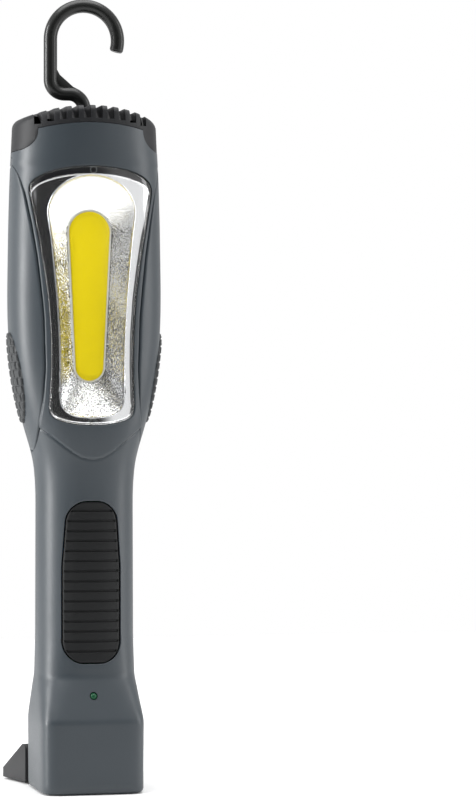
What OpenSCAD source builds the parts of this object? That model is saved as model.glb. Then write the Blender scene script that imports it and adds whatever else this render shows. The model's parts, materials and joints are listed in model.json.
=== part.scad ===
// Cordless work light: a long light strip in a shield-shaped reflector, above a hand grip with one
// ribbed push pad, a swivelling hanging hook, a vented cap and a folding magnetic foot.
// The origin is the centre of the flat base, Z is up, and the light shines towards -Y.

/* [Body] */
// Width of the square base
base_w = 41.6; // [40:0.2:44]
// Height of the base's straight part
base_h = 28.5; // [24:0.5:30]
// Distance from the axis to the front of the base
base_front = 25; // [23:0.5:26]
// Width of the hand grip
handle_w = 38.4; // [37:0.2:40]
// Distance from the axis to the front of the hand grip
handle_front = 17.6; // [17:0.1:18.5]
// Distance from the axis to the back of the hand grip
handle_rear = 17; // [16.8:0.1:17.5]
// Width of the head without its side panels
head_w = 61; // [59:0.5:62]
// Distance from the axis to the front of the head
head_front = 20.7; // [20:0.1:22]
// Distance from the axis to the back of the head
head_rear = 20.5; // [20:0.1:21]
// Thickness of the moulded walls
wall = 2.2; // [1.8:0.1:2.4]
// Distance from the axis back to the joint between the two housings
split_y = 12.5; // [12.3:0.1:13]
// Gap left along every seam
seam = 0.25; // [0.15:0.05:0.35]

/* [Cap and hook] */
// Height of the cap's highest point
cap_top = 271.3; // [270.5:0.1:272]
// Distance between two vent slots
vent_pitch = 4.6; // [4.4:0.1:4.7]
// Width of one vent slot
vent_w = 2.7; // [2:0.1:3]
// Diameter of the hook's rod
hook_d = 5.4; // [5:0.1:5.6]
// Radius of the hook's bend, along the middle of its rod
hook_r = 13.6; // [12:0.1:15]
// Height of the centre of the hook's bend
hook_z = 298.3; // [297:0.1:300]

/* [Light] */
// Thickness of the clear lens
lens_t = 1.8; // [1.4:0.1:2]
// Radius of the light strip's upper end
strip_top_r = 8.2; // [7:0.1:8.5]
// Radius of the light strip's lower end
strip_low_r = 5.65; // [5:0.05:6]
// Distance from the axis to the face of the light strip
strip_front = 11.4; // [11.2:0.1:11.6]

/* [Push pad] */
// Width of the pad where it is widest
pad_w = 23; // [21:0.5:24]
// Height of the pad
pad_h = 63.6; // [60:0.2:66]
// Height of the pad's lower end
pad_z = 51; // [50:0.5:52]
// Number of ribs' grooves
groove_count = 15; // [10:1:15]
// How far the pad can be pushed in
pad_travel = 1; // [0.6:0.1:1]

/* [Foot and battery] */
// Radius of the foot's hinge pin
pin_r = 1.5; // [1.3:0.1:1.6]
// Distance from the axis back to the tip of the foot
foot_tip = 43; // [40:0.5:45]
// Diameter of the battery cell
cell_d = 18.4; // [18:0.1:18.6]
// Length of the battery cell
cell_h = 65; // [64:0.5:65]

/* [Hidden] */

ring_n = 36;
far = 60;
slope_top = 45.5;
// Sizes of the body's outline by height: half width, front, back and how square it is
half_width = [[0, base_w / 2 - 0.2], [base_h, base_w / 2], [slope_top, handle_w / 2 + 0.3],
    [60, handle_w / 2 + 0.1], [118, handle_w / 2], [126, handle_w / 2 + 0.4],
    [131, handle_w / 2 + 1], [135, handle_w / 2 + 2], [140, handle_w / 2 + 3.6],
    [146, handle_w / 2 + 5.4], [157, head_w / 2 - 3.2], [170, head_w / 2 - 1.2],
    [182, head_w / 2 - 0.3], [195, head_w / 2], [224, head_w / 2 - 0.4],
    [253, head_w / 2 - 1.2], [267, head_w / 2 - 1.9], [275, head_w / 2 - 2.1]];
front_depth = [[0, base_front], [base_h, base_front], [slope_top, handle_front + 0.4],
    [60, handle_front], [118, handle_front], [131, handle_front + 1], [140, head_front - 0.7],
    [150, head_front - 0.2], [170, head_front], [250, head_front + 0.2], [275, head_front]];
rear_depth = [[0, handle_rear], [118, handle_rear], [131, handle_rear + 0.7],
    [145, head_rear - 1.2], [170, head_rear], [275, head_rear]];
squareness = [[0, 8], [base_h, 8], [36, 5], [slope_top, 3], [60, 2.5], [118, 2.4], [145, 2.5],
    [170, 2.7], [240, 2.6], [256, 2.2], [275, 2.1]];
levels = [2, 14, base_h, 31, 36, 41, slope_top, 50, 60, 90, 118, 126, 131, 135, 140, 146, 151,
    157, 163, 170, 176, 182, 195, 210, 224, 238, 246, 250.8, 253, 258, 262, 267, 275];

// Distance of the side panels' edge from the axis, by height
wing_low = 134.4;
wing_high = 250.8;
wing_edge = [[wing_low, 21.2], [142.8, 20.4], [154.4, 19.2], [167.2, 18.7], [187.6, 19.3],
    [199, 20.4], [211.2, 21.8], [223.6, 23.8], [236, 26.2], [244.4, 28.4], [wing_high, 30.4]];
wing_t = 1;
grip_t = 1;
grip_z = 163.5;
grip_h = 36;
grip_depth = 21;

// Seam under the cap: an arch between two hanging ears
seam_top = 264;
seam_side = 261.6;
ear_x = 21;
ear_low = 253;
ear_out = 30;
cap_arch_r = 73;
sill_top = 266.8;
vent_count = 10;

// Lens outline: half widths by height, with arched ends
lens_side = [[150, 17], [157, 16.7], [168, 16.3], [180, 16.4], [195, 17.5], [206, 19],
    [218, 21], [228, 22.9], [238, 24.7]];
lens_high = 246.6;
lens_low = 144.9;
lens_gap = 0.35;
dish_side = [[164, 12.5], [173, 12.6], [184, 13], [195, 13.7], [206, 14.7], [218, 15.8]];
dish_top_z = 228.5;
dish_top_w = 17.2;
dish_high = 243.4;
dish_low_z = 157;
dish_low_w = 12.5;
dish_low = 147.9;
strip_top_z = 229.3 - strip_top_r;
strip_low_z = 162.2 + strip_low_r;
board_y = -strip_front + 1.15;
board_t = 1.4;
sink_t = 2;

pad_groove = 0.9;
plunger_end = 12;
main_y = -9.6;
pcb_t = 1.6;
charge_z = 46.4;
port_z = charge_z + pcb_t + 1.3;
cell_z = 59.6;
cell_y = 2.5;

foot_pivot = [20.6, 13];
knuckle_r = 3;
foot_clear = 0.6;
lug_in = 8;
lug_out = 12;
cover_pivot = [15.1, 44.4];
cover_barrel = 0.9;
cover_w = 13;
cover_top = 54.4;
run_gap = 0.05;
screw_spots = [[13.5, 34], [10, 140.5], [13, 253]];
led_z = 38.4;
led_tilt = atan((base_front - handle_front - 0.4) / (slope_top - base_h));

// One horizontal outline of the body, grown outwards by an amount
function outline(z, grow) = let (power = 2 / lookup(z, squareness),
        w = lookup(z, half_width) + grow, front = lookup(z, front_depth) + grow,
        rear = lookup(z, rear_depth) + grow)
    [for (i = [0:ring_n - 1]) let (c = cos(360 * i / ring_n), s = sin(360 * i / ring_n))
        [w * sign(c) * pow(abs(c), power),
         (s < 0 ? front : rear) * sign(s) * pow(abs(s), power), z]];

// Solid through a list of closed outlines of equal length, from the lowest up
module loft(rings) {
    n = len(rings[0]);
    m = len(rings);
    walls = [for (j = [0:m - 2], i = [0:n - 1]) let (a = j * n + i, b = j * n + (i + 1) % n)
        each [[a, a + n, b], [b, a + n, b + n]]];
    ends = [[for (i = [0:n - 1]) i], [for (i = [n - 1:-1:0]) (m - 1) * n + i]];
    polyhedron([for (r = rings) each r], concat(ends, walls));
}

// The body's outer shape, grown by an amount, between two heights
module body(grow, low, high) {
    inside = [for (z = levels) if (z > low + 0.1 && z < high - 0.1) z];
    loft([for (z = concat([low], inside, [high])) outline(z, grow)]);
}

// The same with a small round along the bottom edge
module standing_body() {
    loft(concat([outline(0, -1.1), outline(0.4, -0.4)],
        [for (z = concat([1.2], levels)) outline(z, 0)]));
}

// Faceted shapes joined into one shell
module shell() {
    minkowski() {
        union() children();
    }
}

// A front view shape, pushed from one depth to another
module through_y(y0, y1) {
    translate([0, y1, 0]) rotate([90, 0, 0]) linear_extrude(y1 - y0) children();
}

// A side view shape, pushed from one side to the other
module through_x(x0, x1) {
    translate([x0, 0, 0]) rotate([90, 0, 90]) linear_extrude(x1 - x0) children();
}

// A round bar along Y
module bar_y(x, z, y0, y1, r, fn = 48) {
    translate([x, y1, z]) rotate([90, 0, 0]) cylinder(r = r, h = y1 - y0, $fn = fn);
}

// A round bar along X
module bar_x(x0, x1, y, z, r) {
    translate([x0, y, z]) rotate([0, 90, 0]) cylinder(r = r, h = x1 - x0, $fn = 48);
}

module box(low, high) {
    translate(low) cube(high - low);
}

module both_sides() {
    children();
    mirror([1, 0, 0]) children();
}

// Everything above the seam under the cap, lowered by an amount
module cap_zone(lower) {
    half = concat([for (x = [0:3:ear_x]) [x, seam_top - (seam_top - seam_side) * pow(x / ear_x, 2)]],
        [for (a = [0:15:90]) [ear_out - (ear_out - ear_x) * cos(a),
            seam_side - 0.6 - (seam_side - 0.6 - ear_low) * sin(a)]],
        [[far, ear_low], [far, far * 5], [0, far * 5]]);
    both_sides() offset(delta = lower) polygon(half);
}

module wing_zone(inset) {
    both_sides() polygon(concat([for (p = wing_edge) [p[1] + inset, p[0]]],
        [[far, wing_high], [far, wing_low]]));
}

module lens_shape(grow) {
    right = concat([for (a = [0:15:90]) [17 * sin(a), 150 - (150 - lens_low) * cos(a)]], lens_flip(),
        [for (a = [0:15:90]) [24.7 * cos(a), 238 + (lens_high - 238) * sin(a)]]);
    offset(r = grow, $fn = 24) offset(r = 4, $fn = 24) offset(delta = -4)
        both_sides() polygon(concat([[-1, lens_low]], right, [[-1, lens_high]]));
}

function lens_flip() = [for (p = lens_side) [p[1], p[0]]];

// Closed outline of the dish's rim, with the same number of points as its floor
function dish_rim(grow) = let (
        top = [for (a = [0:15:180]) [(dish_top_w + grow) * cos(a),
            dish_top_z + (dish_high - dish_top_z + grow) * sin(a)]],
        low = [for (a = [180:15:360]) [(dish_low_w + grow) * sign(cos(a)) * pow(abs(cos(a)), 0.7),
            dish_low_z + (dish_low_z - dish_low + grow) * sign(sin(a)) * pow(abs(sin(a)), 0.7)]],
        side = [for (p = dish_side) [p[1] + grow, p[0]]], count = len(dish_side))
    concat(top, [for (i = [count - 1:-1:0]) [-side[i][0], side[i][1]]], low, side);

function dish_floor(grow) = let (
        top = [for (a = [0:15:180]) [(strip_top_r + 0.6 + grow) * cos(a),
            strip_top_z + (strip_top_r + 0.6 + grow) * sin(a)]],
        low = [for (a = [180:15:360]) [(strip_low_r + 0.6 + grow) * cos(a),
            strip_low_z + (strip_low_r + 0.6 + grow) * sin(a)]],
        count = len(dish_side),
        side = [for (i = [0:count - 1]) let (t = (i + 1) / (count + 1))
            [(strip_low_r + (strip_top_r - strip_low_r) * t) + 0.6 + grow,
             strip_low_z + (strip_top_z - strip_low_z) * t]])
    concat(top, [for (i = [count - 1:-1:0]) [-side[i][0], side[i][1]]], low, side);

// Depth of the body's front surface, so that the dish's rim follows it
function front_y(x, z, grow) = let (n = lookup(z, squareness))
    -(lookup(z, front_depth) + grow)
        * pow(1 - pow(min(0.98, abs(x) / (lookup(z, half_width) + grow)), n), 1 / n);

// The bowl between the rim and the floor, grown outwards and backwards
module dish(grow) {
    rim = dish_rim(grow);
    bottom = dish_floor(grow);
    mouth = [for (p = rim) [p[0], front_y(p[0], p[1], -2.6) + grow, p[1]]];
    loft([[for (p = bottom) [p[0], -strip_front + 0.1 + grow, p[1]]],
        [for (i = [0:len(rim) - 1]) let (a = mouth[i], b = bottom[i])
            [b[0] + (a[0] - b[0]) * 0.6, -strip_front + (a[1] + strip_front) * 0.45 + grow,
             b[1] + (a[2] - b[1]) * 0.6]],
        mouth, [for (p = mouth) [p[0], -far / 2, p[2]]]]);
}

module pad_shape(grow) {
    corner = 8.5;
    w = pad_w / 2 - corner;
    offset(r = corner + grow, $fn = 48) polygon([[-w, pad_z + corner], [w, pad_z + corner],
        [w, pad_z + pad_h * 0.6], [w - 1.2, pad_z + pad_h - corner],
        [-w + 1.2, pad_z + pad_h - corner], [-w, pad_z + pad_h * 0.6]]);
}

// A layer of the body's wall, between two depths below its surface
module layer(outer, inner, low, high) {
    difference() {
        body(-outer, low, high);
        body(-inner, low - 1, high + 1);
    }
}

module front_housing() color("slategray") shell() {
    difference() {
        standing_body();
        body(-wall, wall, far * 5);
        through_y(-far, far) cap_zone(seam);
        box([-far, split_y, -1], [far, far, far * 5]);
        through_y(-far, 0) lens_shape(lens_gap);
        through_y(-far, 0) pad_shape(0.4);
        led_axis() translate([0, 0, -6]) cylinder(r = 1.6, h = 12, $fn = 24);
    }
    both_sides() for (s = screw_spots) difference() {
        intersection() {
            bar_y(s[0], s[1], -far, split_y - 4.6, 2.7, 12);
            body(-wall / 2, 1, 262);
        }
        bar_y(s[0], s[1], -4, far, 1.5, 12);
    }
}

module rear_housing() color("slategray") {
    shell() {
        difference() {
            standing_body();
            body(-wall, wall, far * 5);
            through_y(-far, far) cap_zone(seam);
            box([-far, -far, -1], [far, split_y + 0.05, far * 5]);
            box([-9, 13, 42], [9, far, 57]);
            both_sides() for (s = screw_spots) bar_y(s[0], s[1], 13.2, far, 3.1, 16);
        }
        both_sides() for (s = screw_spots) difference() {
            intersection() {
                bar_y(s[0], s[1], split_y - 4.5, far, 3.9, 16);
                body(-wall / 2, 1, 262);
            }
            bar_y(s[0], s[1], 0, far, 1.6, 12);
            bar_y(s[0], s[1], 13.2, far, 3.1, 16);
        }
    }
    port_surround();
    both_sides() difference() {
        union() {
            bar_x(lug_in, lug_out, foot_pivot[0], foot_pivot[1], knuckle_r - 0.2);
            box([lug_in, 15.5, foot_pivot[1] - 2.8], [lug_out, foot_pivot[0], foot_pivot[1] + 2]);
        }
        bar_x(0, far, foot_pivot[0], foot_pivot[1], pin_r + run_gap);
    }
}

// Flat frame round the charging socket, with the pocket and bearings of its cover
module port_surround() {
    difference() {
        box([-9.2, 12.7, 41.8], [9.2, 15.8, 57.2]);
        box([-cover_w / 2 - 0.25, 14.1, 43.2], [cover_w / 2 + 0.25, far, cover_top + 0.3]);
        box([-4.2, 0, port_z - 1.8], [4.2, far, port_z + 1.8]);
        bar_x(-8.4, 8.4, cover_pivot[0], cover_pivot[1], cover_barrel + run_gap);
    }
}

module side_panel(side) {
    shell() intersection() {
        layer(-wing_t, -0.03, wing_low, wing_high);
        through_y(-far, far) wing_zone(0.35);
        box([min(0, side * far), -far, 0], [max(0, side * far), far, far * 5]);
    }
}

module grip_pad(side) {
    shell() intersection() {
        layer(-wing_t - grip_t, -wing_t - 0.03, grip_z - grip_h / 2, grip_z + grip_h / 2);
        through_x(min(0, side * far), max(0, side * far))
            translate([0, grip_z]) scale([grip_depth / grip_h, 1]) circle(r = grip_h / 2, $fn = 32);
    }
}

module left_wing() color("slategray") side_panel(-1);
module right_wing() color("slategray") side_panel(1);
module left_grip() color("dimgray") grip_pad(-1);
module right_grip() color("dimgray") grip_pad(1);

// Side view of one vent slot: over the sill, up a ramp and out at the top
module vent_slot() {
    polygon([[-far, sill_top], [-far, far * 5], [-4, far * 5], [-4, 272.2], [-16.4, 264],
        [-16.4, 263], [-18.6, 263], [-18.6, sill_top]]);
}

module vent_cap() color("darkslategray") {
    shell() difference() {
        intersection() {
            loft(concat([for (z = [250, 253, 258, 262, 267]) outline(z, 0)],
                [outline(269.2, -0.8), outline(270.6, -2.2), outline(275, -10)]));
            through_y(-far, far) cap_zone(0);
            through_y(-far, far) translate([0, cap_top - cap_arch_r]) circle(r = cap_arch_r, $fn = 180);
        }
        intersection() {
            body(-wall, 240, 275);
            through_x(-far, far) polygon([[-18.8, 240], [-18.8, 264.4], [-16.4, 264.4], [-16.4, 261.6],
                [-6, 267.6], [6, 267.6], [16.4, 261.6], [16.4, 264.4], [18.8, 264.4], [18.8, 240]]);
            through_y(-far, far) translate([0, cap_top - cap_arch_r - 2.4])
                circle(r = cap_arch_r, $fn = 180);
        }
        for (i = [0:vent_count - 1], turn = [0, 1]) mirror([0, turn, 0])
            through_x((i - (vent_count - 1) / 2) * vent_pitch - vent_w / 2,
                (i - (vent_count - 1) / 2) * vent_pitch + vent_w / 2) vent_slot();
        translate([0, 0, 240]) cylinder(r = hook_d / 2 + 1.2, h = 60, $fn = 24);
    }
    hook_socket();
}

// Bearing for the hook's stem, in the middle of the cap
module hook_socket() {
    translate([0, 0, 262]) difference() {
        cylinder(r = hook_d / 2 + 2.6, h = cap_top - 0.7 - 262, $fn = 64);
        translate([0, 0, -1]) cylinder(r = hook_d / 2 + run_gap, h = 20, $fn = 64);
    }
}

// One bend of the hook's rod, in the XZ plane
module rod_bend(centre, radius, from, sweep) {
    translate([centre[0], 0, centre[1]]) rotate([90, 0, 0]) rotate([0, 0, from])
        rotate_extrude(angle = sweep, $fn = 96) translate([radius, 0]) circle(d = hook_d, $fn = 48);
}

module hook() color("black") {
    low_z = 276.7;
    corner = 5.5;
    crank = 6;
    tip = asin(3.5 / hook_r);
    rod_bend([0, hook_z], hook_r, 0, 180);
    translate([0, 0, 2 * hook_z]) rotate([180, 0, 0]) rod_bend([0, hook_z], hook_r, 0, tip);
    translate([-hook_r, 0, low_z + corner])
        cylinder(d = hook_d, h = hook_z - low_z - corner, $fn = 48);
    rod_bend([corner - hook_r, low_z + corner], corner, 180, 90);
    translate([corner - hook_r, 0, low_z]) rotate([0, 90, 0])
        cylinder(d = hook_d, h = hook_r - corner - crank, $fn = 48);
    rod_bend([-crank, low_z - crank], crank, 0, 90);
    translate([0, 0, 262]) difference() {
        cylinder(d = hook_d, h = low_z - crank - 262, $fn = 48);
        translate([0, 0, -1]) cylinder(r = 1.1, h = 7, $fn = 24);
    }
    through_y(-0.9, 0.9) polygon([[-hook_r, 288.6], [-hook_r, 280], [-8, low_z], [-3, low_z],
        [-2.3, 278.5], [hook_d / 2 - hook_r - 0.3, 288.6]]);
}

module hook_washer() color("silver") translate([0, 0, 260.9]) difference() {
    cylinder(r = 5, h = 1, $fn = 48);
    translate([0, 0, -1]) cylinder(r = 1.3, h = 3, $fn = 48);
}

module hook_screw() color("silver") {
    translate([0, 0, 259.3]) cylinder(r = 2.6, h = 1.6, $fn = 48);
    translate([0, 0, 260]) cylinder(r = 1.1, h = 7, $fn = 48);
}

module lens() color("white", 0.4) shell() intersection() {
    layer(0.1, 0.1 + lens_t, 140, 249.3);
    through_y(-far, 0) lens_shape(0.02);
}

module lens_gasket() color("black") shell() intersection() {
    layer(0.5, wall, 140, 250);
    through_y(-far, 0) difference() {
        lens_shape(lens_gap - 0.04);
        lens_shape(0.04);
    }
}

module reflector() color("white") shell() {
    difference() {
        union() {
            intersection() {
                layer(wall + 0.1, wall + 1.3, 140, 252);
                through_y(-far, 0) lens_shape(1);
            }
            intersection() {
                dish(1);
                body(-wall - 0.25, 141, 251);
            }
            both_sides() for (z = [159.5, 233])
                bar_y(8, z, -strip_front - 3, board_y - 0.05, 2.2, 12);
        }
        dish(0);
        through_y(-far, 0) polygon(dish_floor(-0.1));
    }
}

module cob_board() color("gainsboro") difference() {
    box([-10.5, board_y, 156.5], [10.5, board_y + board_t, 236.5]);
    both_sides() for (z = [159.5, 233]) bar_y(8, z, -far, far, 1.2);
}

module cob_phosphor() color("gold") through_y(-strip_front - 0.3, board_y)
    polygon(dish_floor(-0.7));

module heat_sink() color("silver") {
    back = board_y + board_t;
    difference() {
        box([-10.5, back, 156.5], [10.5, back + sink_t, 236.5]);
        both_sides() for (z = [159.5, 233]) bar_y(8, z, -far, far, 1.2);
    }
    for (x = [-10:4:10]) box([x - 0.5, back + sink_t - 0.1, 164], [x + 0.5, back + 9, 229]);
}

module heat_sink_screws() color("gray") both_sides() for (z = [159.5, 233]) {
    back = board_y + board_t + sink_t;
    bar_y(8, z, back, back + 1.6, 2);
    bar_y(8, z, board_y, back + 0.1, 1.1);
}

module led_leads() color("red") both_sides() translate([3, main_y + 0.4, 118])
    cylinder(r = 0.6, h = 38.5, $fn = 16);

module switch_pad() color("black") shell() {
    difference() {
        intersection() {
            layer(0.2, 3.4, pad_z - 2, pad_z + pad_h + 2);
            through_y(-far, 0) pad_shape(0);
        }
        for (i = [0:groove_count - 1])
            box([-far, -far, pad_z + 4.7 + i * 3.95 - pad_groove / 2],
                [far, -handle_front + 0.9, pad_z + 4.7 + i * 3.95 + pad_groove / 2]);
    }
    intersection() {
        layer(wall + 0.2, 3.4, pad_z - 2, pad_z + pad_h + 2);
        through_y(-far, 0) pad_shape(1.2);
    }
}

module switch_plunger() color("dimgray") difference() {
    bar_y(0, 83, -handle_front + 3.55, -plunger_end, 3);
    bar_y(0, 83, -handle_front, -plunger_end - 1.2, 1.6);
}

module tact_switch() color("silver") {
    box([-3, main_y - 1.1, 80], [3, main_y, 86]);
    bar_y(0, 83, -plunger_end + pad_travel + 0.05, main_y - 1, 1.6);
}

module main_board() color("darkgreen") box([-8.5, main_y, 34], [8.5, main_y + pcb_t, 118]);

module charge_board() color("darkgreen")
    box([-9, main_y + pcb_t, charge_z], [9, 12.6, charge_z + pcb_t]);

module board_parts() color("dimgray") {
    box([-3, main_y - 1.2, 92], [3, main_y, 98]);
    both_sides() box([4.5, main_y - 1, 102], [6.5, main_y, 105]);
    box([-2.5, main_y - 1.4, 62], [2.5, main_y, 66]);
    box([-3, 0, charge_z + pcb_t], [3, 4, charge_z + pcb_t + 1.2]);
}

module usb_socket() color("silver") difference() {
    box([-3.75, 8.2, charge_z + pcb_t], [3.75, 13.8, charge_z + pcb_t + 2.6]);
    box([-3.4, 8.6, charge_z + pcb_t + 0.35], [3.4, far, charge_z + pcb_t + 2.25]);
}

module port_cover() color("black") {
    translate([0, 15.8, 0]) rotate([90, 0, 0]) linear_extrude(1.4) offset(r = 1.2, $fn = 24)
        offset(delta = -1.2) translate([-cover_w / 2, cover_pivot[1] + cover_barrel])
            square([cover_w, cover_top - cover_pivot[1] - cover_barrel]);
    box([-cover_w / 2, 14.4, cover_pivot[1]], [cover_w / 2, 15.7, cover_pivot[1] + 2.4]);
    bar_x(-8.2, 8.2, cover_pivot[0], cover_pivot[1], cover_barrel);
}

// Line through the indicator's hole, square to the sloping face
module led_axis() {
    translate([0, -lookup(led_z, front_depth), led_z]) rotate([90 - led_tilt, 0, 0]) children();
}

module indicator_led() color("green") {
    led_axis() {
        translate([0, 0, -1]) sphere(r = 1.5, $fn = 32);
        translate([0, 0, -4.4]) cylinder(r = 1.5, h = 3.4, $fn = 32);
        translate([0, 0, -5.2]) cylinder(r = 1.9, h = 0.9, $fn = 32);
    }
    both_sides() bar_y(0.8, 36.6, -17.2, main_y, 0.25);
}

module battery_cell() color("steelblue") translate([0, cell_y, cell_z])
    cylinder(d = cell_d, h = cell_h, $fn = 64);

module battery_cradle() color("dimgray") {
    box([-8, 11.9, cell_z - 2.4], [8, 13.3, cell_z + cell_h + 2.4]);
    box([-8.5, -6, cell_z - 2.4], [8.5, 12, cell_z - 0.4]);
    box([-8.5, -6, cell_z + cell_h + 0.4], [8.5, 12, cell_z + cell_h + 2.4]);
}

module battery_contacts() color("silver") for (z = [cell_z - 0.4, cell_z + cell_h])
    box([-4, cell_y - 4, z], [4, cell_y + 4, z + 0.4]);

module battery_leads() color("darkred") {
    translate([4.6, cell_y + 3, charge_z + pcb_t])
        cylinder(r = 0.6, h = cell_z - 2.4 - charge_z - pcb_t, $fn = 16);
    translate([11.6, 0, charge_z - 4]) {
        cylinder(r = 0.6, h = cell_z + cell_h + 7 - charge_z, $fn = 16);
        translate([0, 0, cell_z + cell_h + 7 - charge_z]) sphere(r = 0.6, $fn = 16);
    }
    bar_x(0, 11.6, 0, cell_z + cell_h + 3, 0.6);
    bar_x(9, 11.6, 0, charge_z + pcb_t / 2, 0.6);
}

// Side view of the foot: round at the hinge, sloping down to the tip
module foot_side() {
    hull() {
        translate(foot_pivot) circle(r = knuckle_r, $fn = 48);
        translate([foot_pivot[0] - knuckle_r, foot_clear]) square([4, 2]);
        translate([foot_tip - 1.6, foot_clear + 2.6]) circle(r = 1.6, $fn = 24);
        translate([foot_tip - 2, foot_clear]) square([1.6, 1]);
    }
}

module foot_plan() {
    hull() {
        translate([-base_w / 2, foot_pivot[0] - knuckle_r]) square([base_w, 2]);
        both_sides() translate([base_w / 2 - 1.6, foot_tip - 5.5]) circle(r = 5.5, $fn = 48);
    }
}

module stand_foot() color("darkslategray") difference() {
    intersection() {
        through_x(-far, far) foot_side();
        linear_extrude(far) foot_plan();
    }
    bar_x(-lug_out - 0.4, lug_out + 0.4, foot_pivot[0], foot_pivot[1], knuckle_r + 0.3);
    box([-lug_out - 0.4, 0, foot_pivot[1] - 5.4], [lug_out + 0.4, foot_pivot[0], far]);
    bar_x(-19, 19, foot_pivot[0], foot_pivot[1], pin_r);
    translate([0, 32, 0]) cylinder(r = 8.1, h = foot_clear + 3.2, $fn = 64);
}

module foot_pin() color("silver") bar_x(-18.8, 18.8, foot_pivot[0], foot_pivot[1], pin_r);

module foot_magnet() color("silver") translate([0, 32, foot_clear + 0.1])
    cylinder(r = 8, h = 3, $fn = 64);

module case_screws() color("gray") both_sides() for (s = screw_spots) {
    bar_y(s[0], s[1], 13.3, 15.2, 2.9);
    bar_y(s[0], s[1], -2, 13.4, 1.35);
}

front_housing();
rear_housing();
left_wing();
right_wing();
left_grip();
right_grip();
vent_cap();
hook();
hook_washer();
hook_screw();
lens();
lens_gasket();
reflector();
cob_board();
cob_phosphor();
heat_sink();
heat_sink_screws();
led_leads();
switch_pad();
switch_plunger();
tact_switch();
main_board();
charge_board();
board_parts();
usb_socket();
port_cover();
indicator_led();
battery_cell();
battery_cradle();
battery_contacts();
battery_leads();
stand_foot();
foot_pin();
foot_magnet();
case_screws();
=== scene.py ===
# %% [markdown]
# # A cordless work light, finished in Blender
# The frame holds the engineering model: where every part is, and how it moves. Here each visible
# part is modelled again with the roundings, gaps and textures of a moulded product. The packed
# parts stay as they are, and each new piece hides those of them that it stands for.

# %% Load the frame
import json
import math

import bpy
import numpy as np
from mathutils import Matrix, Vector


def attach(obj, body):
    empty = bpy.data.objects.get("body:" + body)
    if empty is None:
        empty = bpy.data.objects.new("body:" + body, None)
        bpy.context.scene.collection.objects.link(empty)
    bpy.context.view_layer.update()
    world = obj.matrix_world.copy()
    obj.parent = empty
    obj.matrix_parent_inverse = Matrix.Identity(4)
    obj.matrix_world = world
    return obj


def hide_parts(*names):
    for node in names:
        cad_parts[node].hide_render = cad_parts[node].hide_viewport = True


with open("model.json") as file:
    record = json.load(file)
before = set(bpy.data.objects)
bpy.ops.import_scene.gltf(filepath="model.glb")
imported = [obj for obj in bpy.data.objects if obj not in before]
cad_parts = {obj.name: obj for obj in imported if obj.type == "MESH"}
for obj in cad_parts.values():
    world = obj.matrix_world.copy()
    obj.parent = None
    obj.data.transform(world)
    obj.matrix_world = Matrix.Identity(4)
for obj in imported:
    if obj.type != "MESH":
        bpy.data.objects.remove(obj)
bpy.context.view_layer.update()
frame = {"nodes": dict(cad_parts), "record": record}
MM = 0.001

# %% [markdown]
# ## Working habits
# Operators act on whatever is selected, so every step starts from nothing selected. A finished
# piece has its place in its mesh and its object at the origin, which these helpers see to.


# %% Helpers for objects
def leave_edit():
    bpy.ops.object.mode_set(mode="OBJECT")


def clear_selection():
    if bpy.context.mode != "OBJECT":
        leave_edit()
    bpy.ops.object.select_all(action="DESELECT")


def take(piece):
    clear_selection()
    piece.select_set(True)
    bpy.context.view_layer.objects.active = piece


def new_piece(name):
    piece = bpy.context.object
    piece.name = name
    piece.data.name = name
    bpy.ops.object.transform_apply(location=True, rotation=True, scale=True)
    return piece


def edit(piece, mode="VERT", action="DESELECT"):
    take(piece)
    bpy.ops.object.mode_set(mode="EDIT")
    bpy.ops.mesh.select_mode(type=mode)
    bpy.ops.mesh.select_all(action=action)


def finish_with(piece, kind, **settings):
    take(piece)
    modifier = piece.modifiers.new(kind.title(), kind)
    for name, value in settings.items():
        setattr(modifier, name, value)
    bpy.ops.object.modifier_apply(modifier=modifier.name)


def smooth(piece, degrees=35):
    take(piece)
    bpy.ops.object.shade_smooth_by_angle(angle=math.radians(degrees))


def thicken(piece, amount):
    finish_with(piece, "SOLIDIFY", thickness=amount * MM, offset=-1)


def join(name, pieces):
    take(pieces[0])
    for piece in pieces[1:]:
        piece.select_set(True)
    bpy.ops.object.join()
    pieces[0].name = name
    pieces[0].data.name = name
    return pieces[0]


def cut(piece, cutter, operation="DIFFERENCE"):
    finish_with(piece, "BOOLEAN", object=cutter, operation=operation, solver="EXACT")
    bpy.data.objects.remove(cutter, do_unlink=True)


def place(piece, body, nodes, material, degrees=35):
    """Shades a finished piece, hangs it on its body and hides the frame parts that it stands for."""
    smooth(piece, degrees)
    piece.data.materials.clear()
    piece.data.materials.append(material)
    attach(piece, body)
    if nodes:
        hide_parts(*nodes)
    print(piece.name, len(piece.data.polygons), "faces on", body)


# %% [markdown]
# ## Camera and light
# A long lens from a little over a metre keeps the tall body upright and free of distortion. It
# stands slightly to the light's right hand side, level with the middle of the body.

# %% Camera
CAMERA_TURN = math.radians(-10.5)
CAMERA_DISTANCE = 1.3
CAMERA_HEIGHT = 0.1547
PAN = math.radians(2.71)
camera_data = bpy.data.cameras.new("camera")
camera_data.lens = 146.4
camera_data.sensor_width = 36
camera = bpy.data.objects.new("camera", camera_data)
bpy.context.collection.objects.link(camera)
camera.location = (math.sin(CAMERA_TURN) * CAMERA_DISTANCE,
                   -math.cos(CAMERA_TURN) * CAMERA_DISTANCE, CAMERA_HEIGHT)
camera.rotation_euler = (math.radians(90), 0, CAMERA_TURN - PAN)
bpy.context.scene.camera = camera
print("camera at", [round(v, 3) for v in camera.location])

# %% [markdown]
# The world and every material are trees of nodes, and are built the same way: a node is added,
# and each of its sockets gets a value or a link from another node. Two helpers do this in one
# line, so that a tree reads as a list of what feeds what.


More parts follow.
